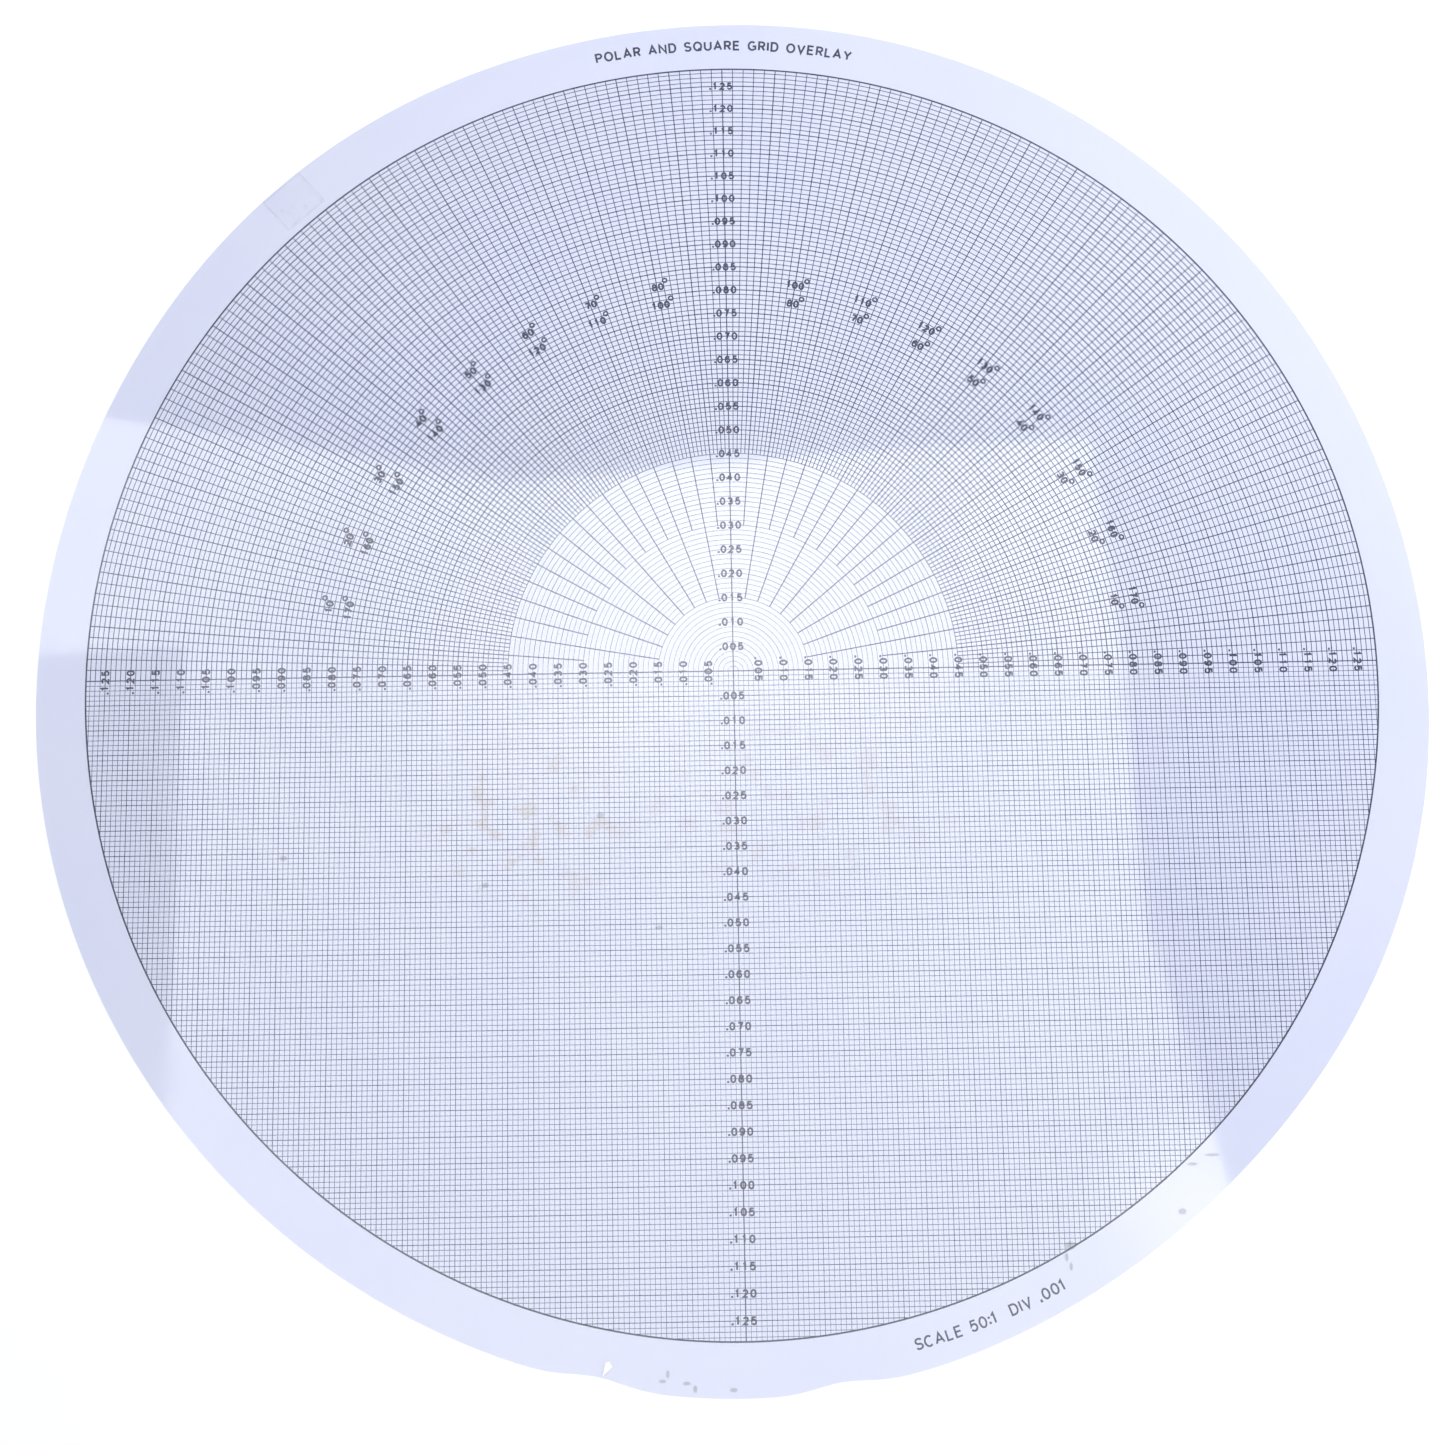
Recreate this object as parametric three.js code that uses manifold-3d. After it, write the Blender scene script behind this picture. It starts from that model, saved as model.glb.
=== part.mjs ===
// Optical comparator overlay chart: a thin clear film disc, printed on its upper face with
// a radius-and-angle chart above the horizontal axis and a square grid below it.
// The origin is the chart's centre on the film's underside. +X is to the right of the
// chart, +Y towards its top (the 90 degree ray), and +Z out of the printed face.
import * as THREE from 'three';
import Module from 'manifold-3d';
import { mergeVertices } from 'three/addons/utils/BufferGeometryUtils.js';

const wasm = await Module();
wasm.setup();

// Driving dimensions, in millimetres and degrees.
const INCH = 25.4;
const MAGNIFICATION = 50;
const STEP = 0.001 * INCH * MAGNIFICATION; // one graduation: .001 in shown at 50 times its size
const BORDER_RADIUS = 163.6;
const BORDER_WIDTH = 0.42;
const LINE_WIDTH = 0.3;
const INK_THICKNESS = 0.02;
const INK_GAP = 0.3; // clear film between two neighbouring ink solids

const FILM_RADIUS = 176.1;
const FILM_THICKNESS = 0.19;
const FILM_FACETS = 360;
// The film was trimmed by hand: slow waves round the whole edge, each with its number of
// crests, its height and the direction of one crest.
const EDGE_WAVES = [
  { crests: 1, height: 0.15, at: 123 },
  { crests: 2, height: 0.2, at: 80 },
  { crests: 3, height: 0.25, at: -12 },
  { crests: 4, height: 0.3, at: -10 },
  { crests: 5, height: 0.45, at: -14 },
  { crests: 7, height: 0.15, at: -24 },
];
// Two shallow hollows where the scissors ran in, either side of the chart's foot.
const EDGE_HOLLOWS = [
  { depth: 1.8, at: -101.8, reach: 3 },
  { depth: 1.8, at: -82.5, reach: 3 },
];

// A strip of half-inch clear tape left on the upper left margin, cut off at the film's edge.
const TAPE_WIDTH = INCH / 2;
const TAPE_LENGTH = 10.6;
const TAPE_THICKNESS = 0.05;
const TAPE_DIRECTION = 131.6;
const TAPE_INNER_RADIUS = 165.7;

// The printed charts as webs of their every fifteenth line: the rays begin at multiples of it.
const WEB_PITCH = 15 * STEP;
const RAY_SETS = [
  { every: 10, fromLine: 1 },
  { every: 5, fromLine: 2 },
];
const FACET_DEGREES = 5;
const CIRCLE_FACETS = 144;
const OVERRUN = 1; // how far a cutting solid runs past what it cuts

const FILM_TOP = FILM_THICKNESS;
const HALF_LINE = LINE_WIDTH / 2;
const MARGIN_RADIUS = BORDER_RADIUS + BORDER_WIDTH / 2 + INK_GAP; // the clear margin's inner edge
const WEB_RADIUS = BORDER_RADIUS - BORDER_WIDTH / 2 - INK_GAP;
const WEB_LINES = Math.ceil(WEB_RADIUS / WEB_PITCH); // the last one is just past the border

const radians = (degrees) => THREE.MathUtils.degToRad(degrees);
const polar = (radius, degrees) => new THREE.Vector2(
  radius * Math.cos(radians(degrees)),
  radius * Math.sin(radians(degrees)),
);

function material(colour, roughness, opacity = 1) {
  return new THREE.MeshStandardMaterial({
    color: colour,
    roughness,
    metalness: 0,
    opacity,
    transparent: opacity < 1,
  });
}

const FILM = material(0xdfe3f2, 0.12, 0.4);
const INK = material(0x2b2b3a, 0.6);
const TAPE = material(0xd6d9e6, 0.35, 0.5);

// One outline or a list of them in the chart's plane, raised to plates of one thickness.
function plate(shapes, thickness, curveSegments = 1) {
  return new THREE.ExtrudeGeometry(shapes, {
    depth: thickness,
    bevelEnabled: false,
    curveSegments,
  });
}

// A closed geometry as a manifold-3d solid, and back.
function solidOf(geometry) {
  const bare = geometry.clone();
  bare.deleteAttribute('normal');
  bare.deleteAttribute('uv');
  const merged = mergeVertices(bare, 1e-4);
  return new wasm.Manifold(new wasm.Mesh({
    numProp: 3,
    vertProperties: new Float32Array(merged.attributes.position.array),
    triVerts: new Uint32Array(merged.index.array),
  }));
}

function geometryOf(solid) {
  const mesh = solid.getMesh();
  const geometry = new THREE.BufferGeometry();
  geometry.setAttribute('position', new THREE.BufferAttribute(mesh.vertProperties, 3));
  geometry.setIndex(new THREE.BufferAttribute(mesh.triVerts, 1));
  geometry.computeVertexNormals();
  return geometry;
}

// The trimmed edge: distance from the chart's centre in a given direction.
function edgeRadius(degrees) {
  let radius = FILM_RADIUS;
  for (const wave of EDGE_WAVES) {
    radius += wave.height * Math.cos(radians(wave.crests * (degrees - wave.at)));
  }
  for (const hollow of EDGE_HOLLOWS) {
    const away = (degrees - hollow.at + 540) % 360 - 180;
    radius -= hollow.depth * Math.exp(-((away / hollow.reach) ** 2));
  }
  return radius;
}

// A closed outline round the chart's centre, at a radius given for each direction.
function outline(facets, radiusAt) {
  const points = [];
  for (let i = 0; i < facets; i += 1) {
    const degrees = i * 360 / facets;
    points.push(polar(radiusAt(degrees), degrees));
  }
  return points;
}

// The film is one sheet. Its clear margin, where clips press, and its printed middle are
// joined along a circle, so that each has flat faces of its own.
function filmSheet() {
  const joint = outline(CIRCLE_FACETS, () => MARGIN_RADIUS);
  const margin = new THREE.Shape(outline(FILM_FACETS, edgeRadius));
  margin.holes.push(new THREE.Path(joint));
  const middle = new THREE.Shape(joint);
  const ring = solidOf(plate(margin, FILM_THICKNESS));
  return geometryOf(ring.add(solidOf(plate(middle, FILM_THICKNESS))));
}

function borderCircle() {
  const shape = new THREE.Shape();
  shape.absarc(0, 0, BORDER_RADIUS + BORDER_WIDTH / 2, 0, 2 * Math.PI);
  const inside = new THREE.Path();
  inside.absarc(0, 0, BORDER_RADIUS - BORDER_WIDTH / 2, 0, 2 * Math.PI, true);
  shape.holes.push(inside);
  return plate(shape, INK_THICKNESS, CIRCLE_FACETS / 2);
}

// The part of the chart's disc above or below a level, given as a height on the Y axis.
function discAbove(level) {
  const corner = Math.asin(level / WEB_RADIUS);
  const shape = new THREE.Shape();
  shape.absarc(0, 0, WEB_RADIUS, corner, Math.PI - corner);
  return shape;
}

function discBelow(level) {
  const corner = Math.asin(level / WEB_RADIUS);
  const shape = new THREE.Shape();
  shape.absarc(0, 0, WEB_RADIUS, Math.PI - corner, 2 * Math.PI + corner);
  return shape;
}

// A web of printed lines: a part of the disc with the clear windows between its lines cut out.
function web(disc, windows) {
  const clear = plate(windows.map((points) => new THREE.Shape(points)), INK_THICKNESS + 2 * OVERRUN);
  clear.translate(0, 0, -OVERRUN);
  const ink = plate(disc, INK_THICKNESS, CIRCLE_FACETS / 2);
  return geometryOf(solidOf(ink).subtract(solidOf(clear)));
}

// The clear window between two neighbouring arcs and two neighbouring rays.
function polarWindow(inner, outer, from, to) {
  const facets = Math.round((to - from) / FACET_DEGREES);
  const points = [];
  const sweep = (radius, start, end) => {
    const inset = THREE.MathUtils.radToDeg(Math.asin(HALF_LINE / radius));
    const clear = 1 - 2 * inset / (to - from);
    const middle = (from + to) / 2;
    for (let i = 0; i <= facets; i += 1) {
      const degrees = start + (end - start) * i / facets;
      points.push(polar(radius, middle + (degrees - middle) * clear));
    }
  };
  sweep(outer - HALF_LINE, from, to);
  if (inner > 0) {
    sweep(inner + HALF_LINE, to, from);
  } else {
    const corner = HALF_LINE / Math.sin(radians(to - from) / 2);
    points.push(polar(corner, (from + to) / 2));
  }
  return points;
}

// Upper half: half circles, rays and the horizontal axis. Only the upright ray reaches the
// centre, and more rays join in further out.
function radiusChart() {
  const windows = [];
  for (let i = 0; i < WEB_LINES; i += 1) {
    let every = 90;
    for (const set of RAY_SETS) {
      every = i >= set.fromLine ? set.every : every;
    }
    for (let degrees = 0; degrees < 180; degrees += every) {
      windows.push(polarWindow(i * WEB_PITCH, (i + 1) * WEB_PITCH, degrees, degrees + every));
    }
  }
  return web(discAbove(-HALF_LINE), windows);
}

// Lower half: the square grid and the vertical axis, clear of the horizontal axis.
function squareGrid() {
  const windows = [];
  for (let i = -WEB_LINES; i < WEB_LINES; i += 1) {
    for (let j = -WEB_LINES; j < 0; j += 1) {
      const left = i * WEB_PITCH + HALF_LINE;
      const right = (i + 1) * WEB_PITCH - HALF_LINE;
      const bottom = j * WEB_PITCH + HALF_LINE;
      const top = (j + 1) * WEB_PITCH - HALF_LINE;
      windows.push([
        new THREE.Vector2(left, bottom),
        new THREE.Vector2(right, bottom),
        new THREE.Vector2(right, top),
        new THREE.Vector2(left, top),
      ]);
    }
  }
  return web(discBelow(-HALF_LINE - INK_GAP), windows);
}

// The tape strip, lying across the margin with its outer end on the film's edge.
function tapeRemnant() {
  const shape = new THREE.Shape([
    new THREE.Vector2(0, -TAPE_WIDTH / 2),
    new THREE.Vector2(TAPE_LENGTH, -TAPE_WIDTH / 2),
    new THREE.Vector2(TAPE_LENGTH, TAPE_WIDTH / 2),
    new THREE.Vector2(0, TAPE_WIDTH / 2),
  ]);
  return plate(shape, TAPE_THICKNESS);
}

const group = new THREE.Group();

function place(name, geometry, look, z = 0) {
  const mesh = new THREE.Mesh(geometry, look);
  mesh.name = name;
  mesh.position.z = z;
  group.add(mesh);
  return mesh;
}

place('film_sheet', filmSheet(), FILM);
place('border_circle', borderCircle(), INK, FILM_TOP);
place('radius_chart', radiusChart(), INK, FILM_TOP);
place('square_grid', squareGrid(), INK, FILM_TOP);

const tape = place('tape_remnant', tapeRemnant(), TAPE, FILM_TOP);
tape.position.x = TAPE_INNER_RADIUS * Math.cos(radians(TAPE_DIRECTION));
tape.position.y = TAPE_INNER_RADIUS * Math.sin(radians(TAPE_DIRECTION));
tape.rotation.z = radians(TAPE_DIRECTION);

export default group;
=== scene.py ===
"""Optical comparator overlay chart: a thin clear film disc with a fine printed chart, lying flat.

The chart's own measures are in millimetres, as in the CAD, and become metres where a mesh is made.
The upper half is printed with half circles and rays, the lower half with a square grid.
"""

import math

import bpy
import numpy as np
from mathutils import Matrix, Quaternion, Vector


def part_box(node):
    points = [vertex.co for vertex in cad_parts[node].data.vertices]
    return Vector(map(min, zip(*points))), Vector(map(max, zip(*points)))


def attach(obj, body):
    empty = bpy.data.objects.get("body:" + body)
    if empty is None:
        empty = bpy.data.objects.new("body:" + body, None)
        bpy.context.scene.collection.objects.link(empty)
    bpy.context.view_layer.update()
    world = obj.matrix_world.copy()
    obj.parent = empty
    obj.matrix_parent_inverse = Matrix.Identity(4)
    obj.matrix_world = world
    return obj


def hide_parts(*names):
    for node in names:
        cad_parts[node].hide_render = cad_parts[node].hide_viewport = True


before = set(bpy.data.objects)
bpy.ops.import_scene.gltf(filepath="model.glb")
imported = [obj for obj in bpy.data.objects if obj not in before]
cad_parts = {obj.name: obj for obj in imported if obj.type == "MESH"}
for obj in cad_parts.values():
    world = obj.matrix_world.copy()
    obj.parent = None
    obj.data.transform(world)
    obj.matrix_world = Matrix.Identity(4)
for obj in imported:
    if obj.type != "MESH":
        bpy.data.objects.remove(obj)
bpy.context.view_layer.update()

MM = 0.001

# The printed chart: one graduation in millimetres, then counts of graduations.
STEP = 1.27
LAST_LINE = 128
MAJOR_EVERY = 5
RAY_PITCH = 1  # degrees between neighbouring rays
FINE_RAYS_FROM = 45
FIVE_DEGREE_RAYS_FROM = 30
TEN_DEGREE_RAYS_FROM = 15

# Line widths, in millimetres: the fine lines of each set, and every fifth one.
ARC_LINES = (0.2, 0.265)
RAY_LINES = (0.205, 0.262)
GRID_LINES = (0.14, 0.195)
AXIS_LINE = 0.28

# The arcs are finer towards the centre, and the upright grid lines a little finer near it:
# the share of the full width at some of the graduations.
ARC_SHARES = [(8, 0.42), (40, 0.56), (60, 1.0)]
UPRIGHT_SHARES = [(0, 0.7), (90, 1.0)]

# Ink lies on the film in thin layers, one over another where lines cross.
INK_LAYER = 0.005
INK_CLEARANCE = 0.001  # between the film and the lowest layer
LAYER_PITCH = 0.007
ARC_LAYER, RAY_LAYER, AXIS_LAYER, GLYPH_LAYER = range(4)
SEGMENT = 4.5  # the longest straight piece of a printed line
ARC_TURN = 2.0  # and the widest turn, in degrees, between two pieces of an arc

FILM_RINGS = 60  # rings of triangles from the film's middle to its edge
RIM_ROUND = 0.03  # how much its edge is rounded, in millimetres

# The sheet isn't perfectly flat: slow waves, each with its height, length and direction.
SHEET_WAVES = [
    (0.020, 330, 25, 40),
    (0.015, 210, 100, 130),
    (0.010, 140, 160, 250),
]

# Spots of dirt on the film: their places and half their width and height.
SPECKS = [
    (-34.0, -36.2, 0.8, 0.7),
    (-19.6, -64.4, 0.9, 0.5),
    (-62.7, -53.2, 0.8, 0.6),
    (-113.0, -45.6, 0.9, 0.6),
    (78.8, -142.7, 1.3, 0.9),
    (77.8, -145.4, 0.4, 1.0),
    (78.8, -147.6, 0.4, 0.9),
    (106.4, -135.2, 1.0, 0.7),
    (109.5, -124.0, 1.2, 0.4),
    (114.5, -121.9, 1.7, 0.35),
    (-18.9, -170.7, 0.4, 0.9),
    (-20.2, -172.3, 0.8, 0.4),
    (-14.4, -172.9, 0.9, 0.4),
    (-12.4, -174.2, 0.5, 0.8),
    (-3.2, -174.6, 0.9, 0.5),
]

# Lettering, in millimetres.
NUMERAL_HEIGHT = 2.1
NUMERAL_STROKE = 0.46
NUMERAL_PITCH = 1.95
POINT_BEFORE = 1.25  # from the first digit's middle back to the decimal point
POINT_SIZE = 0.55
ANGLE_STROKE = 0.52
ANGLE_PITCH = 1.7
ANGLE_ROWS = (82, 78)  # where the two rows of angles are, in graduations
DEGREE_RING = (0.55, 0.42)  # its radius and its line
DEGREE_PLACE = (1.28, 1.5)  # from the last digit's middle, along the text and up
MARGIN_HEIGHT = 2.85
# The lettering round the margin: its radius, and the directions of its first and last letters.
TITLE_STROKE = 0.55
TITLE_PLACE = (170.4, 101.1, 78.6)
NOTE_STROKE = 0.46
NOTE_PLACE = (169.95, -75.9, -63.3)

film_low, film_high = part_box("film_sheet")
border_low, border_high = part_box("border_circle")
FILM_TOP = film_high.z / MM
BORDER_OUTER = (border_high.x - border_low.x) / 2 / MM
BORDER_LINE = 0.42
BORDER_RADIUS = BORDER_OUTER - BORDER_LINE / 2


# ---------------------------------------------------------------- the sheet's own shape

def node_points(name):
    """A CAD node's vertices, in millimetres."""
    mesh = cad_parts[name].data
    points = np.zeros(len(mesh.vertices) * 3)
    mesh.vertices.foreach_get("co", points)
    return points.reshape(-1, 3) / MM


def trimmed_edge():
    """The CAD film's hand-trimmed edge, as a function from direction in radians to radius."""
    points = node_points("film_sheet")
    radii = np.hypot(points[:, 0], points[:, 1])
    rim = radii > BORDER_OUTER + 3
    turns = np.arctan2(points[rim, 1], points[rim, 0])
    order = np.argsort(turns)
    turns, radii = turns[order], radii[rim][order]
    return lambda turn: np.interp(turn, turns, radii, period=2 * math.pi)


edge_radius = trimmed_edge()


def lift(x, y):
    """How far the sheet stands off the table at a place on the chart."""
    height = np.zeros_like(x)
    for crest, length, direction, phase in SHEET_WAVES:
        angle = math.radians(direction)
        along = (x * math.cos(angle) + y * math.sin(angle)) / length * 2 * math.pi
        height += crest * (1 + np.cos(along + math.radians(phase))) / 2
    return height


# ---------------------------------------------------------------- meshes

def new_piece(name, points, faces, material, smooth=False):
    """A mesh object from points in millimetres, riding on the sheet's one body."""
    mesh = bpy.data.meshes.new(name)
    mesh.from_pydata((np.asarray(points) * MM).tolist(), [], faces)
    mesh.validate()
    mesh.update()
    mesh.materials.append(material)
    if smooth:
        mesh.shade_smooth()
        mesh.set_sharp_from_angle(angle=math.radians(25))
    piece = bpy.data.objects.new(name, mesh)
    bpy.context.scene.collection.objects.link(piece)
    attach(piece, "root")
    return piece


def line_edges(points, width, closed):
    """The two edges of a line of that width along points, mitred at its corners."""
    sharpest = 2.5
    path = np.asarray(points, float)
    ahead = np.roll(path, -1, axis=0) - path
    if not closed:
        ahead[-1] = ahead[-2]
    ahead /= np.linalg.norm(ahead, axis=1)[:, None]
    behind = np.roll(ahead, 1, axis=0)
    if not closed:
        behind[0] = ahead[0]
    side = np.column_stack([-ahead[:, 1], ahead[:, 0]])
    mitre = side + np.column_stack([-behind[:, 1], behind[:, 0]])
    mitre /= np.linalg.norm(mitre, axis=1)[:, None]
    reach = width / 2 / np.maximum((mitre * side).sum(axis=1), 1 / sharpest)
    return path + mitre * reach[:, None], path - mitre * reach[:, None]


class Print:
    """Printed lines that share one layer of ink, gathered into one mesh of closed strips."""

    def __init__(self, layer):
        self.bottom = FILM_TOP + INK_CLEARANCE + layer * LAYER_PITCH
        self.points = []
        self.faces = []
        self.count = 0

    def line(self, points, width, closed=False):
        left, right = line_edges(points, width, closed)
        n = len(left)
        flat = np.concatenate([left, right, left, right])
        heights = lift(flat[:, 0], flat[:, 1]) + self.bottom
        heights[2 * n:] += INK_LAYER
        self.points.append(np.column_stack([flat, heights]))
        here = np.arange(n if closed else n - 1)
        there = (here + 1) % n
        left_low, right_low, left_high, right_high = (self.count + k * n for k in range(4))
        for a, b in (
            (right_high, left_high),
            (left_high, left_low),
            (left_low, right_low),
            (right_low, right_high),
        ):
            self.faces.append(np.column_stack([a + here, a + there, b + there, b + here]))
        if not closed:
            ends = np.array([
                [left_low, right_low, right_high, left_high],
                [left_low + n - 1, left_high + n - 1, right_high + n - 1, right_low + n - 1],
            ])
            self.faces.append(ends)
        self.count += 4 * n

    def piece(self, name, material):
        faces = np.concatenate(self.faces).tolist()
        return new_piece(name, np.concatenate(self.points), faces, material)


def straight(start, end):
    """Points along a straight line, close enough together to follow the sheet."""
    start, end = np.array(start, float), np.array(end, float)
    pieces = max(1, math.ceil(np.linalg.norm(end - start) / SEGMENT))
    share = np.linspace(0, 1, pieces + 1)[:, None]
    return start + (end - start) * share


def bow(x, y, across, up, start, end, turn=15.0):
    """Points on an arc of an ellipse between two directions in degrees."""
    pieces = max(2, math.ceil(abs(end - start) / turn))
    angles = np.radians(np.linspace(start, end, pieces + 1))
    return np.column_stack([x + across * np.cos(angles), y + up * np.sin(angles)])


def circle(radius, turn):
    return bow(0, 0, radius, radius, 0, 360, turn)[:-1]


def polar(radius, degrees):
    angle = math.radians(degrees)
    return np.array([radius * math.cos(angle), radius * math.sin(angle)])


# ---------------------------------------------------------------- lettering

def glyph_shapes():
    """Each character as strokes of a plain technical alphabet, one unit tall on its base line.

    A stroke is its points and whether it closes on itself.
    """
    def path(*parts, closed=False):
        return np.concatenate([np.atleast_2d(np.array(p, float)) for p in parts]), closed

    def ring(x, y, across, up):
        return path(bow(x, y, across, up, 0, 360)[:-1], closed=True)

    bowl = [(-0.3, 1), (0.05, 1), *bow(0.05, 0.74, 0.26, 0.26, 75, -75), (0.05, 0.48), (-0.3, 0.48)]
    six = [
        ring(0, 0.32, 0.3, 0.32),
        path(bow(0.03, 0.5, 0.33, 0.5, 35, 180), (-0.3, 0.34)),
    ]
    return {
        "0": [ring(0, 0.5, 0.33, 0.5)],
        "1": [path((-0.2, 0.78), (0.04, 1), (0.04, 0))],
        "2": [path(bow(0, 0.7, 0.3, 0.3, 165, -35), (-0.31, 0), (0.33, 0))],
        "3": [
            path(bow(0, 0.75, 0.26, 0.25, 160, -80), (-0.08, 0.52)),
            path((-0.08, 0.5), bow(0, 0.26, 0.3, 0.26, 80, -160)),
        ],
        "4": [
            path((0.12, 0), (0.12, 1), (-0.34, 0.3), (0.34, 0.3)),
            path((-0.1, 0.42), (0.04, 0.6)),
        ],
        "5": [path((0.27, 1), (-0.2, 1), (-0.27, 0.5), bow(0, 0.33, 0.31, 0.33, 130, -155))],
        "6": six,
        "7": [path((-0.3, 1), (0.31, 1), (-0.06, 0))],
        "8": [ring(0, 0.76, 0.25, 0.24), ring(0, 0.27, 0.31, 0.27)],
        "9": [(np.array([0, 1]) - points * np.array([1, 1]), closed) for points, closed in six],
        ".": [path((0, -0.1), (0, 0.2))],
        ":": [path((0, 0.05), (0, 0.27)), path((0, 0.6), (0, 0.82))],
        "A": [path((-0.4, 0), (0, 1), (0.4, 0)), path((-0.27, 0.32), (0.27, 0.32))],
        "C": [path(bow(0, 0.5, 0.4, 0.5, 48, 312))],
        "D": [path((-0.34, 0), (-0.34, 1), bow(0, 0.5, 0.36, 0.5, 90, -90), closed=True)],
        "E": [
            path((0.3, 1), (-0.3, 1), (-0.3, 0), (0.32, 0)),
            path((-0.3, 0.52), (0.25, 0.52)),
        ],
        "G": [
            path(bow(0, 0.5, 0.4, 0.5, 48, 312)),
            path((0.06, 0.46), (0.38, 0.46), (0.38, 0.02)),
        ],
        "I": [path((0, 0), (0, 1))],
        "L": [path((-0.27, 1), (-0.27, 0), (0.28, 0))],
        "N": [path((-0.36, 0), (-0.36, 1), (0.36, 0), (0.36, 1))],
        "O": [ring(0, 0.5, 0.42, 0.5)],
        "P": [path((-0.3, 0), *bowl)],
        "Q": [ring(0, 0.5, 0.42, 0.5), path((0.1, 0.26), (0.42, -0.04))],
        "R": [path((-0.3, 0), *bowl), path((0.02, 0.48), (0.32, 0))],
        "S": [path(bow(0, 0.75, 0.31, 0.25, 25, 270), bow(0, 0.25, 0.33, 0.25, 75, -155))],
        "U": [
            path((-0.35, 1), (-0.35, 0.36), bow(0, 0.36, 0.35, 0.36, 195, 345), (0.35, 0.36), (0.35, 1)),
        ],
        "V": [path((-0.38, 1), (0, 0), (0.38, 1))],
        "Y": [path((-0.38, 1), (0, 0.46), (0.38, 1)), path((0, 0.46), (0, 0))],
    }


GLYPHS = glyph_shapes()


def glyph_width(character):
    """The width of a character's strokes at a height of one, or of a word space."""
    if character == " ":
        return 0.3
    across = np.concatenate([points[:, 0] for points, _ in GLYPHS[character]])
    return across.max() - across.min()


def put_glyph(ink, character, middle, degrees, height, stroke):
    """Prints one character centred on a place, turned anticlockwise by degrees."""
    scale = height - stroke
    angle = math.radians(degrees)
    turn = np.array([[math.cos(angle), math.sin(angle)], [-math.sin(angle), math.cos(angle)]])
    width = POINT_SIZE if character in ".:" else stroke
    for points, closed in GLYPHS[character]:
        local = (points - (0, 0.5)) * scale
        ink.line(local @ turn + middle, width, closed)


def put_number(ink, text, middle, degrees):
    """Prints a decimal such as .125 with its middle digit centred on a place."""
    angle = math.radians(degrees)
    along = np.array([math.cos(angle), math.sin(angle)])
    places = [-NUMERAL_PITCH - POINT_BEFORE, -NUMERAL_PITCH, 0, NUMERAL_PITCH]
    for character, place in zip(text, places):
        put_glyph(ink, character, middle + along * place, degrees, NUMERAL_HEIGHT, NUMERAL_STROKE)


def put_on_arc(ink, text, radius, first, last, height, stroke):
    """Prints a line of lettering round the chart between the middles of its first and last letters.

    Read clockwise its tops point outwards, and read anticlockwise they point to the centre.
    """
    clockwise = last < first
    widths = np.array([glyph_width(c) for c in text]) * (height - stroke)
    span = math.radians(abs(last - first)) * radius
    gap = (span - widths.sum() + (widths[0] + widths[-1]) / 2) / (len(text) - 1)
    along = np.cumsum(widths + gap) - widths / 2 - gap
    along -= along[0]
    for character, distance in zip(text, along):
        if character == " ":
            continue
        turn = math.degrees(distance / radius)
        degrees = first - turn if clockwise else first + turn
        facing = degrees - 90 if clockwise else degrees + 90
        put_glyph(ink, character, polar(radius, degrees), facing, height, stroke)


# ---------------------------------------------------------------- materials

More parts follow.
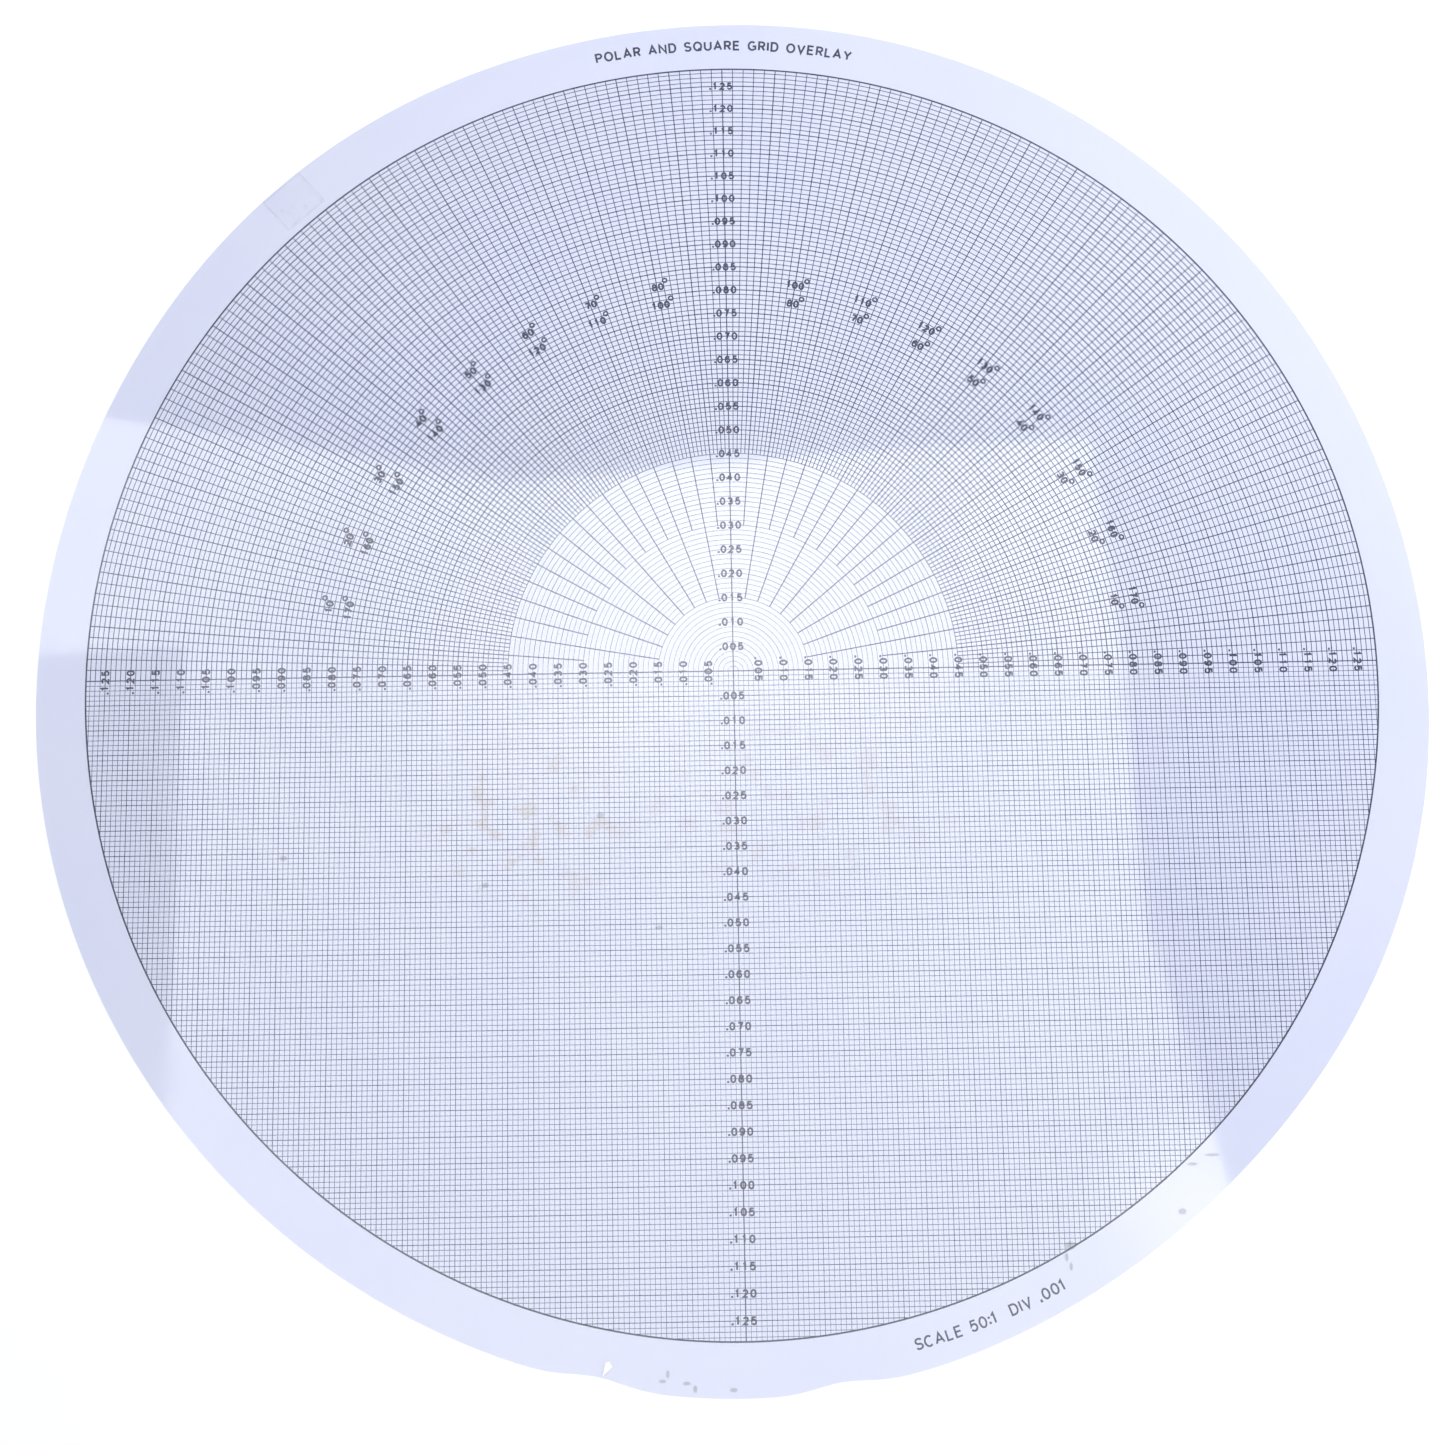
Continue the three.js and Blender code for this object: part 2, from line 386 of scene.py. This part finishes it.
class Nodes:
    """A short way to write the node tree of a material, a light or the sky."""

    def __init__(self, owner, output="OutputMaterial", coordinates=("TexCoord", "Object")):
        self.owner = owner
        owner.use_nodes = True
        self.tree = owner.node_tree
        self.tree.nodes.clear()
        self.out = self.add(output)
        kind, space = coordinates
        self.place = self.add(kind).outputs[space]

    def add(self, kind, inputs=(), **settings):
        node = self.tree.nodes.new("ShaderNode" + kind)
        for key, value in settings.items():
            setattr(node, key, value)
        for key, value in dict(inputs).items():
            if isinstance(value, bpy.types.NodeSocket):
                self.tree.links.new(value, node.inputs[key])
            else:
                node.inputs[key].default_value = value
        return node

    def math(self, operation, a, b):
        return self.add("Math", {0: a, 1: b}, operation=operation).outputs[0]

    def vector(self, operation, a, b=(0, 0, 0)):
        return self.add("VectorMath", {0: a, 1: b}, operation=operation).outputs[0]

    def length(self, vector):
        return self.add("VectorMath", {0: vector}, operation="LENGTH").outputs["Value"]

    def noise(self, scale, detail=2.0, roughness=0.5):
        inputs = {"Vector": self.place, "Scale": scale, "Detail": detail, "Roughness": roughness}
        return self.add("TexNoise", inputs).outputs["Fac"]

    def ramp(self, factor, low, high, to_low=0.0, to_high=1.0, shape="SMOOTHSTEP"):
        inputs = {"Value": factor, 1: low, 2: high, 3: to_low, 4: to_high}
        return self.add("MapRange", inputs, interpolation_type=shape).outputs[0]

    def colours(self, factor, a, b):
        node = self.add("Mix", {0: factor}, data_type="RGBA")
        for socket, colour in ((node.inputs[6], a), (node.inputs[7], b)):
            if isinstance(colour, bpy.types.NodeSocket):
                self.tree.links.new(colour, socket)
            else:
                socket.default_value = (*colour, 1)
        return node.outputs[2]

    def blend(self, factor, a, b):
        return self.add("MixShader", {0: factor, 1: a, 2: b}).outputs[0]

    def bump(self, height, strength, distance):
        inputs = {"Height": height, "Strength": strength, "Distance": distance}
        return self.add("Bump", inputs).outputs[0]

    def patch(self, x, y, across, up, edge=0.35):
        """One inside an ellipse on the sheet, in millimetres, fading to none outside it."""
        offset = self.vector("SUBTRACT", self.place, (x * MM, y * MM, 0))
        away = self.length(self.vector("MULTIPLY", offset, (1 / (across * MM), 1 / (up * MM), 0)))
        return self.ramp(away, 1 - edge, 1 + edge, 1.0, 0.0)

    def rectangle_rim(self, corners, width):
        """None inside a rectangle on the sheet, rising to one along its sides, over a width in mm."""
        middle = (*corners.mean(axis=0) * MM, 0)
        side, next_side = corners[1] - corners[0], corners[2] - corners[1]
        turn = {"Vector": self.place, "Center": middle, "Angle": -math.atan2(side[1], side[0])}
        turned = self.add("VectorRotate", turn, rotation_type="Z_AXIS").outputs[0]
        away = self.vector("ABSOLUTE", self.vector("SUBTRACT", turned, middle))
        half = (np.hypot(*side) / 2 * MM, np.hypot(*next_side) / 2 * MM, 0)
        beyond = self.add("SeparateXYZ", {0: self.vector("SUBTRACT", away, half)})
        nearest = self.math("MAXIMUM", beyond.outputs["X"], beyond.outputs["Y"])
        return self.ramp(nearest, -width * MM, 0.0)

    def part(self, axis):
        return self.add("SeparateXYZ", {0: self.place}).outputs[axis]

    def finish(self, surface):
        self.tree.links.new(surface, self.out.inputs["Surface"])
        return self.owner


def mirror_share(nodes, head_on, normal=None):
    """How much a clear surface mirrors: little head on, and more at a glancing angle."""
    weights = nodes.add("LayerWeight", {"Blend": 0.5})
    if normal is not None:
        nodes.tree.links.new(normal, weights.inputs["Normal"])
    glancing = nodes.math("POWER", weights.outputs["Facing"], 5.0)
    return nodes.ramp(glancing, 0.0, 1.0, head_on, 1.0, "LINEAR")


def surface_waves(nodes):
    """The slow waves that the sheet's mirror images show."""
    return nodes.bump(nodes.noise(7, 1, 0.4), 0.25, 0.002)


def specks(nodes):
    """A few small spots of dirt on the film, most of them near the foot of the chart."""
    spots = 0.0
    for x, y, across, up in SPECKS:
        spots = nodes.math("MAXIMUM", spots, nodes.patch(x, y, across, up))
    return spots


def film_material():
    """Glossy clear film with a faint lavender cast, a little haze, old stains and specks."""
    nodes = Nodes(bpy.data.materials.new("clear_film"))
    clear = (0.932, 0.936, 0.9705)
    stained = (0.86, 0.84, 0.83)
    dirt = (0.77, 0.77, 0.78)
    blotches = nodes.ramp(nodes.noise(165, 3, 0.55), 0.53, 0.62)
    fainter = nodes.math("MULTIPLY", nodes.patch(14, -33, 40, 20), 0.6)
    stained_part = nodes.math("MAXIMUM", nodes.patch(-52, -38, 24, 20), fainter)
    old_marks = nodes.math("MULTIPLY", blotches, stained_part)
    stain = nodes.math("MULTIPLY", old_marks, 0.28)
    dirty = nodes.math("MULTIPLY", specks(nodes), 0.65)
    tint = nodes.colours(dirty, nodes.colours(stain, clear, stained), dirt)

    haze = nodes.ramp(nodes.noise(11, 4, 0.6), 0.3, 0.8, 0.045, 0.075)
    normal = surface_waves(nodes)
    roughness = nodes.ramp(nodes.noise(35, 4, 0.6), 0.35, 0.75, 0.03, 0.07)

    through = nodes.add("BsdfTransparent", {"Color": tint}).outputs[0]
    lavender = (0.47, 0.6, 1.0)
    brownish = (0.48, 0.47, 0.48)
    cast_colour = nodes.colours(old_marks, lavender, brownish)
    cast = nodes.add("BsdfDiffuse", {"Color": cast_colour}).outputs[0]
    shiny = {"Color": (1, 1, 1, 1), "Roughness": roughness, "Normal": normal}
    gloss = nodes.add("BsdfGlossy", shiny).outputs[0]
    body = nodes.blend(haze, through, cast)
    return nodes.finish(nodes.blend(mirror_share(nodes, 0.045, normal), body, gloss))


def ink_material():
    """Blue-black printing ink, slightly uneven in density."""
    nodes = Nodes(bpy.data.materials.new("printed_ink"))
    dense = (0.03, 0.034, 0.066)
    thin = (0.06, 0.066, 0.125)
    colour = nodes.colours(nodes.ramp(nodes.noise(160, 3, 0.6), 0.3, 0.75), dense, thin)
    roughness = nodes.ramp(nodes.noise(300, 2), 0.3, 0.7, 0.08, 0.16)
    normal = surface_waves(nodes)
    inputs = {"Base Color": colour, "Roughness": roughness, "Normal": normal, "IOR": 1.8}
    return nodes.finish(nodes.add("BsdfPrincipled", inputs).outputs[0])


def tape_material(corners):
    """Aged clear tape: a touch greyer than the film, with trapped bubbles and dust at its edges."""
    nodes = Nodes(bpy.data.materials.new("clear_tape"))
    clear = (1.0, 1.0, 1.0)
    aged = (0.996, 0.995, 0.997)
    tint = nodes.colours(nodes.ramp(nodes.noise(70, 3), 0.35, 0.7), clear, aged)
    bubbles = nodes.ramp(nodes.noise(420, 2, 0.6), 0.55, 0.72, 0.01, 0.05)
    roughness = nodes.ramp(nodes.noise(180, 3), 0.3, 0.7, 0.16, 0.34)
    through = nodes.add("BsdfTransparent", {"Color": tint}).outputs[0]
    dull = nodes.add("BsdfDiffuse", {"Color": (0.92, 0.93, 0.97, 1)}).outputs[0]
    grime = nodes.add("BsdfDiffuse", {"Color": (0.3, 0.28, 0.28, 1)}).outputs[0]
    gloss = nodes.add("BsdfGlossy", {"Color": (1, 1, 1, 1), "Roughness": roughness}).outputs[0]
    uneven = nodes.ramp(nodes.noise(380, 2), 0.35, 0.6, 0.015, 0.055)
    dusty = nodes.math("MULTIPLY", nodes.rectangle_rim(corners, 0.7), uneven)
    body = nodes.blend(dusty, nodes.blend(bubbles, through, dull), grime)
    return nodes.finish(nodes.blend(mirror_share(nodes, 0.004), body, gloss))


def fleck_material():
    """A dried, chalky fleck."""
    nodes = Nodes(bpy.data.materials.new("dried_fleck"))
    colour = nodes.colours(nodes.noise(900, 3, 0.6), (0.86, 0.87, 0.88), (0.95, 0.95, 0.95))
    normal = nodes.bump(nodes.noise(1500, 3), 0.5, 0.0001)
    inputs = {"Base Color": colour, "Roughness": 0.7, "Normal": normal}
    return nodes.finish(nodes.add("BsdfPrincipled", inputs).outputs[0])


def floor_material():
    """Pale paper, very slightly uneven."""
    nodes = Nodes(bpy.data.materials.new("pale_floor"))
    colour = nodes.colours(nodes.noise(3, 4), (0.925, 0.925, 0.925), (0.94, 0.94, 0.94))
    surface = nodes.add("BsdfPrincipled", {"Base Color": colour, "Roughness": 0.7})
    return nodes.finish(surface.outputs[0])


INK = ink_material()


# ---------------------------------------------------------------- pieces

def film_piece():
    """The sheet: rings of small triangles on both faces, joined by a slightly rounded rim."""
    steps = [(0, 0.0)]
    for ring in range(1, FILM_RINGS + 1):
        steps += [(ring, 2 * math.pi * k / (6 * ring)) for k in range(6 * ring)]
    rings = np.array([ring for ring, _ in steps], float)
    turns = np.array([turn for _, turn in steps])
    radii = rings / FILM_RINGS * (edge_radius(turns) - RIM_ROUND)
    disc = np.column_stack([radii * np.cos(turns), radii * np.sin(turns)])
    outer = turns[-6 * FILM_RINGS:]
    rim = np.column_stack([edge_radius(outer) * np.cos(outer), edge_radius(outer) * np.sin(outer)])

    def raised(flat, height):
        return np.column_stack([flat, lift(flat[:, 0], flat[:, 1]) + height])

    layers = [
        raised(disc, FILM_TOP),
        raised(rim, FILM_TOP - RIM_ROUND),
        raised(rim, RIM_ROUND),
        raised(disc, 0.0),
    ]
    triangles = disc_triangles(FILM_RINGS)
    count = len(disc)
    around = len(rim)
    faces = list(triangles)
    bottom_start = count + 2 * around
    faces += [(bottom_start + a, bottom_start + c, bottom_start + b) for a, b, c in triangles]
    bands = [count - around, count, count + around, bottom_start + count - around]
    for upper, lower in zip(bands, bands[1:]):
        for k in range(around):
            after = (k + 1) % around
            faces.append((upper + k, lower + k, lower + after, upper + after))
    piece = new_piece("film", np.concatenate(layers), faces, film_material(), smooth=True)
    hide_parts("film_sheet")


def disc_triangles(rings):
    """Triangles that join rings of 6, 12, 18 and so on points round a middle point."""
    triangles = []
    for ring in range(1, rings + 1):
        outer_start = 1 + 3 * ring * (ring - 1)
        inner_start = 1 + 3 * (ring - 1) * (ring - 2)
        outer_count, inner_count = 6 * ring, 6 * (ring - 1)
        for sector in range(6):
            for k in range(ring):
                a = outer_start + sector * ring + k
                b = outer_start + (sector * ring + k + 1) % outer_count
                if ring == 1:
                    triangles.append((0, a, b))
                    continue
                inner = inner_start + (sector * (ring - 1) + k) % inner_count
                triangles.append((inner, a, b))
                if k < ring - 1:
                    after = inner_start + (sector * (ring - 1) + k + 1) % inner_count
                    triangles.append((inner, b, after))
    return triangles


def border_piece():
    ink = Print(AXIS_LAYER)
    ink.line(circle(BORDER_RADIUS, 1.0), BORDER_LINE, closed=True)
    piece = ink.piece("border_ring", INK)
    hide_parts("border_circle")
    return piece


def arc_pieces():
    """Half circles round the centre at every graduation, every fifth one heavier."""
    fine, major = Print(ARC_LAYER), Print(ARC_LAYER)
    for line in range(1, LAST_LINE + 1):
        ink, width = (fine, ARC_LINES[0]) if line % MAJOR_EVERY else (major, ARC_LINES[1])
        radius = line * STEP
        share = np.interp(line, *zip(*ARC_SHARES))
        ink.line(bow(0, 0, radius, radius, 0, 180, ARC_TURN), width * share)
    pieces = [fine.piece("fine_arcs", INK), major.piece("major_arcs", INK)]
    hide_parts("radius_chart")
    return pieces


def ray_pieces():
    """Rays out to the border, of which fewer and fewer reach in towards the centre."""
    fine, major = Print(RAY_LAYER), Print(RAY_LAYER)
    for degrees in range(RAY_PITCH, 180, RAY_PITCH):
        if degrees == 90:
            continue
        if degrees % 10 == 0:
            start = TEN_DEGREE_RAYS_FROM
        elif degrees % 5 == 0:
            start = FIVE_DEGREE_RAYS_FROM
        else:
            start = FINE_RAYS_FROM
        ink, width = (fine, RAY_LINES[0]) if degrees % 5 else (major, RAY_LINES[1])
        ink.line(straight(polar(start * STEP, degrees), polar(BORDER_RADIUS, degrees)), width)
    return [fine.piece("fine_rays", INK), major.piece("major_rays", INK)]


def grid_pieces():
    """The square grid below the horizontal axis, clipped by the border."""
    level, upright = {}, {}
    for name, width in zip(("fine", "major"), GRID_LINES):
        level[name] = Print(ARC_LAYER), width
        upright[name] = Print(RAY_LAYER), width
    for line in range(1, LAST_LINE + 1):
        reach = math.sqrt(BORDER_RADIUS ** 2 - (line * STEP) ** 2)
        kind = "fine" if line % MAJOR_EVERY else "major"
        ink, width = level[kind]
        ink.line(straight((-reach, -line * STEP), (reach, -line * STEP)), width)
        ink, width = upright[kind]
        share = np.interp(line, *zip(*UPRIGHT_SHARES))
        for side in (-1, 1):
            ink.line(straight((side * line * STEP, 0), (side * line * STEP, -reach)), width * share)
    pieces = [ink.piece(kind + "_grid_level", INK) for kind, (ink, _) in level.items()]
    pieces += [ink.piece(kind + "_grid_upright", INK) for kind, (ink, _) in upright.items()]
    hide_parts("square_grid")
    return pieces


def axis_piece():
    ink = Print(AXIS_LAYER)
    reach = BORDER_RADIUS - BORDER_LINE / 2
    ink.line(straight((-reach, 0), (reach, 0)), AXIS_LINE)
    ink.line(straight((0, AXIS_LINE / 2), (0, reach)), AXIS_LINE)
    ink.line(straight((0, -AXIS_LINE / 2), (0, -reach)), AXIS_LINE)
    return ink.piece("chart_axes", INK)


def axis_numerals():
    """Radii in thousandths of an inch along the four arms, upright or turned along the arm."""
    ink = Print(GLYPH_LAYER)
    arms = [((0, 1), 0), ((0, -1), 0), ((-1, 0), 90), ((1, 0), -90)]
    for line in range(MAJOR_EVERY, LAST_LINE, MAJOR_EVERY):
        for direction, degrees in arms:
            middle = np.array(direction, float) * line * STEP
            put_number(ink, f".{line:03d}", middle, degrees)
    return ink.piece("axis_numerals", INK)


def put_angle(ink, value, radius, ray):
    """Prints an angle and its degree ring across a ray, with its top outwards."""
    text = str(value)
    middle_index = 1 if len(text) == 3 else 0.4  # two digits leave room for the ring
    along = polar(1, ray - 90)
    outward = polar(1, ray)
    middle = polar(radius, ray)
    for k, character in enumerate(text):
        place = middle + along * (k - middle_index) * ANGLE_PITCH
        put_glyph(ink, character, place, ray - 90, NUMERAL_HEIGHT, ANGLE_STROKE)
    last = middle + along * (len(text) - 1 - middle_index) * ANGLE_PITCH
    beside, above = DEGREE_PLACE
    ring_radius, ring_line = DEGREE_RING
    ring = circle(ring_radius, 24.0) + last + along * beside + outward * above
    ink.line(ring, ring_line, closed=True)


def angle_numerals():
    """Two rows of angles, measured from either end of the horizontal axis."""
    ink = Print(GLYPH_LAYER)
    for ray in range(10, 180, 10):
        if ray != 90:
            outer, inner = ANGLE_ROWS
            put_angle(ink, 180 - ray, outer * STEP, ray)
            put_angle(ink, ray, inner * STEP, ray)
    return ink.piece("angle_numerals", INK)


def margin_lettering():
    """A plain title at the top of the margin and a scale note at its lower right."""
    title = Print(GLYPH_LAYER)
    put_on_arc(title, "POLAR AND SQUARE GRID OVERLAY", *TITLE_PLACE, MARGIN_HEIGHT, TITLE_STROKE)
    note = Print(GLYPH_LAYER)
    put_on_arc(note, "SCALE 50:1  DIV .001", *NOTE_PLACE, MARGIN_HEIGHT, NOTE_STROKE)
    return [title.piece("title_line", INK), note.piece("scale_note", INK)]


def tape_piece():
    """The strip of clear tape, lying on the film where the CAD has it."""
    points = node_points("tape_remnant")
    low, high = points[:, 2].min(), points[:, 2].max()
    corners = np.unique(np.round(points[:, :2], 3), axis=0)
    from_middle = corners - corners.mean(axis=0)
    corners = corners[np.argsort(np.arctan2(from_middle[:, 1], from_middle[:, 0]))]
    across, along = 12, 8  # its pieces in each direction
    grid = []
    for i in range(across + 1):
        start = corners[0] + (corners[1] - corners[0]) * i / across
        end = corners[3] + (corners[2] - corners[3]) * i / across
        grid += [start + (end - start) * k / along for k in range(along + 1)]
    grid = np.array(grid)
    base = lift(grid[:, 0], grid[:, 1])
    gap = 0.003
    bottom = np.column_stack([grid, base + low + gap])
    top = np.column_stack([grid, base + high])
    piece = plate_piece("tape_strip", bottom, top, across, along, tape_material(corners))
    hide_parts("tape_remnant")


def plate_piece(name, bottom, top, across, along, material):
    """A closed plate between two grids of points, one over the other."""
    row = along + 1
    count = len(bottom)
    faces = []
    for i in range(across):
        for k in range(along):
            a = i * row + k
            faces.append((a, a + 1, a + row + 1, a + row))
            faces.append((count + a, count + a + row, count + a + row + 1, count + a + 1))
    loop = [i * row for i in range(across)]
    loop += [across * row + k for k in range(along)]
    loop += [i * row + along for i in range(across, 0, -1)]
    loop += [k for k in range(along, 0, -1)]
    for here, there in zip(loop, loop[1:] + loop[:1]):
        faces.append((here, there, count + there, count + here))
    return new_piece(name, np.concatenate([bottom, top]), faces, material)


def fleck_piece():
    """The dried fleck on the lower margin: a small low mound with an uneven outline."""
    middle = np.array([-33.4, -168.7])
    outline = np.array([(-34.6, -171.0), (-32.0, -168.8), (-32.9, -167.4), (-33.9, -167.8)])
    loops = []
    for share, height in ((1.0, 0.002), (0.97, 0.05), (0.8, 0.09), (0.45, 0.11)):
        flat = middle + (outline - middle) * share
        loops.append(np.column_stack([flat, lift(flat[:, 0], flat[:, 1]) + FILM_TOP + height]))
    n = len(outline)
    faces = [tuple(range(n))[::-1], tuple(range(3 * n, 4 * n))]
    for start in (0, n, 2 * n):
        for k in range(n):
            after = (k + 1) % n
            faces.append((start + k, start + after, start + n + after, start + n + k))
    new_piece("dried_fleck", np.concatenate(loops), faces, fleck_material())


film_piece()
printed = [border_piece(), *arc_pieces(), *ray_pieces(), *grid_pieces(), axis_piece()]
printed += [axis_numerals(), angle_numerals(), *margin_lettering()]
for piece in printed:
    # The clear windows between the lines are as bright as the margin: the ink shades no paper.
    piece.visible_shadow = False
    piece.visible_diffuse = False
tape_piece()
fleck_piece()


# ---------------------------------------------------------------- floor, light and camera

FLOOR_RADIUS = 15.0

# The overhead softbox, whose outline the film mirrors: in metres and degrees, and then places on it
# as shares of its width from its left side and of its length from its near side.
PANEL_PLACE = (-0.108, 0.0477, 1.2066)
PANEL_TURN = (10, 0, 1.5)
PANEL_SIZE = (1.09, 0.98)
PANEL_RADIANCE = (1.35, 1.946)  # at its near side and at its far side
FAR_BEND = (0.438, 0.9)  # where its far edge bends
FAR_SLOPES = (-0.231, 0.033)  # the slopes of that edge to the left and to the right of the bend
LEFT_SIDE = 0.156
LEFT_CORNER = 0.73  # farther along than this, the corner reaches out beyond the left side
RIGHT_SIDE = 0.9506
RIGHT_FLARE = (0.42, -0.165)  # nearer than this, the right side slants outwards, with this slope
EDGE_BLUR = 0.003
HOT_SPOTS = [  # place, radius and added radiance
    ((0.5684, 0.756, 0), 0.315, 1.15),
    ((0.97, 0.175, 0), 0.115, 1.35),
]

# The camera, in metres and degrees.
CAMERA_AIM = (-0.003, -0.0132)
CAMERA_DISTANCE = 0.4713
CAMERA_TURN = (-3.46, 80.88, 2.46)  # azimuth from the chart's foot, elevation and roll
CAMERA_LENS = 46.53  # in millimetres, on a sensor 36 mm wide


def add_floor():
    """A pale round floor just under the film, so wide that its far edge lies near the horizon."""
    level = -0.01 * MM
    rim = [(x, y, level) for x, y in circle(FLOOR_RADIUS, 3.0)]
    mesh = bpy.data.meshes.new("floor")
    mesh.from_pydata(rim, [], [range(len(rim))])
    mesh.materials.append(floor_material())
    floor = bpy.data.objects.new("floor", mesh)
    bpy.context.scene.collection.objects.link(floor)


def add_softbox(name, place, turn, size, radiance):
    """A rectangular area light of an even radiance."""
    light = bpy.data.lights.new(name, "AREA")
    light.shape = "RECTANGLE"
    light.size, light.size_y = size
    light.energy = math.pi * size[0] * size[1] * radiance
    light.color = (1, 0.995, 0.985)
    lamp = bpy.data.objects.new(name, light)
    lamp.location = place
    lamp.rotation_euler = [math.radians(angle) for angle in turn]
    bpy.context.scene.collection.objects.link(lamp)
    return light


def add_overhead_light():
    """The large softbox that the film mirrors: brighter at its far edge, with two hot spots.

    Its far edge is bent, its far left corner reaches out beyond the rest of its left side, and
    its right side slants outwards towards the near corner.
    """
    light = add_softbox("overhead", PANEL_PLACE, PANEL_TURN, PANEL_SIZE, 1.0)
    nodes = Nodes(light, "OutputLight", ("NewGeometry", "Parametric"))
    across, along = nodes.part("X"), nodes.part("Y")

    def more(a, b):
        return nodes.ramp(nodes.math("SUBTRACT", a, b), -EDGE_BLUR, EDGE_BLUR)

    bend_across, bend_along = FAR_BEND
    from_bend = nodes.math("SUBTRACT", across, bend_across)
    rises = [nodes.math("MULTIPLY", from_bend, slope) for slope in FAR_SLOPES]
    far_edge = nodes.math("ADD", nodes.math("MAXIMUM", *rises), bend_along)
    flare_from, flare_slope = RIGHT_FLARE
    flare = nodes.math("MULTIPLY", nodes.math("SUBTRACT", along, flare_from), flare_slope)
    right_edge = nodes.math("ADD", nodes.math("MAXIMUM", flare, 0.0), RIGHT_SIDE)
    right_of_left = nodes.math("MAXIMUM", more(across, LEFT_SIDE), more(along, LEFT_CORNER))

    strength = nodes.ramp(along, 0.0, 1.0, *PANEL_RADIANCE, "LINEAR")
    for place, radius, radiance in HOT_SPOTS:
        away = nodes.length(nodes.vector("SUBTRACT", nodes.place, place))
        strength = nodes.math("ADD", strength, nodes.ramp(away, 0.0, radius, radiance, 0.0))
    for within in (more(far_edge, along), more(right_edge, across), right_of_left):
        strength = nodes.math("MULTIPLY", strength, within)
    nodes.finish(nodes.add("Emission", {"Strength": strength}).outputs[0])


def add_pool():
    """A soft pool of light on the upper middle of the chart, from far enough aside not to show."""
    place, aim = Vector((-0.6, 0.7, 0.9)), Vector((0.0, 0.085, 0.0))
    light = bpy.data.lights.new("pool", "SPOT")
    light.energy = 12
    light.spot_size = math.radians(7.2)
    light.spot_blend = 1.0
    light.shadow_soft_size = 0.06
    lamp = bpy.data.objects.new("pool", light)
    lamp.location = place
    lamp.rotation_euler = (aim - place).to_track_quat("-Z", "Y").to_euler()
    bpy.context.scene.collection.objects.link(lamp)


def add_sky():
    """Even pale surroundings, brightest a little above the horizon."""
    world = bpy.data.worlds.new("studio")
    nodes = Nodes(world, "OutputWorld", ("TexCoord", "Generated"))
    height = nodes.part("Z")
    near_horizon = nodes.ramp(height, 0.0, 0.2, 0.8, 1.03)
    overhead = nodes.ramp(height, 0.0, 0.8, 1.06, 0.68, "LINEAR")
    strength = nodes.math("MINIMUM", near_horizon, overhead)
    background = nodes.add("Background", {"Color": (0.96, 0.975, 1.0, 1), "Strength": strength})
    nodes.finish(background.outputs[0])
    bpy.context.scene.world = world


def add_camera():
    """Almost straight down, from a little towards the chart's foot, and turned slightly."""
    aim = Vector((*CAMERA_AIM, FILM_TOP * MM))
    azimuth, elevation, roll = (math.radians(angle) for angle in CAMERA_TURN)
    back = Vector((
        math.sin(azimuth) * math.cos(elevation),
        -math.cos(azimuth) * math.cos(elevation),
        math.sin(elevation),
    ))
    data = bpy.data.cameras.new("camera")
    data.sensor_width = 36
    data.lens = CAMERA_LENS
    camera = bpy.data.objects.new("camera", data)
    camera.location = aim + back * CAMERA_DISTANCE
    camera.rotation_mode = "QUATERNION"
    camera.rotation_quaternion = (-back).to_track_quat("-Z", "Y") @ Quaternion((0, 0, 1), roll)
    bpy.context.scene.collection.objects.link(camera)
    bpy.context.scene.camera = camera


add_floor()
add_overhead_light()
add_softbox("side", (0.43, 0.24, 0.36), (0, 54, 29), (0.2, 0.3), 7.6)
add_pool()
add_sky()
add_camera()
bpy.context.scene.view_settings.view_transform = "Standard"
bpy.context.scene.cycles.transparent_max_bounces = 16  # light goes through film and tape and back
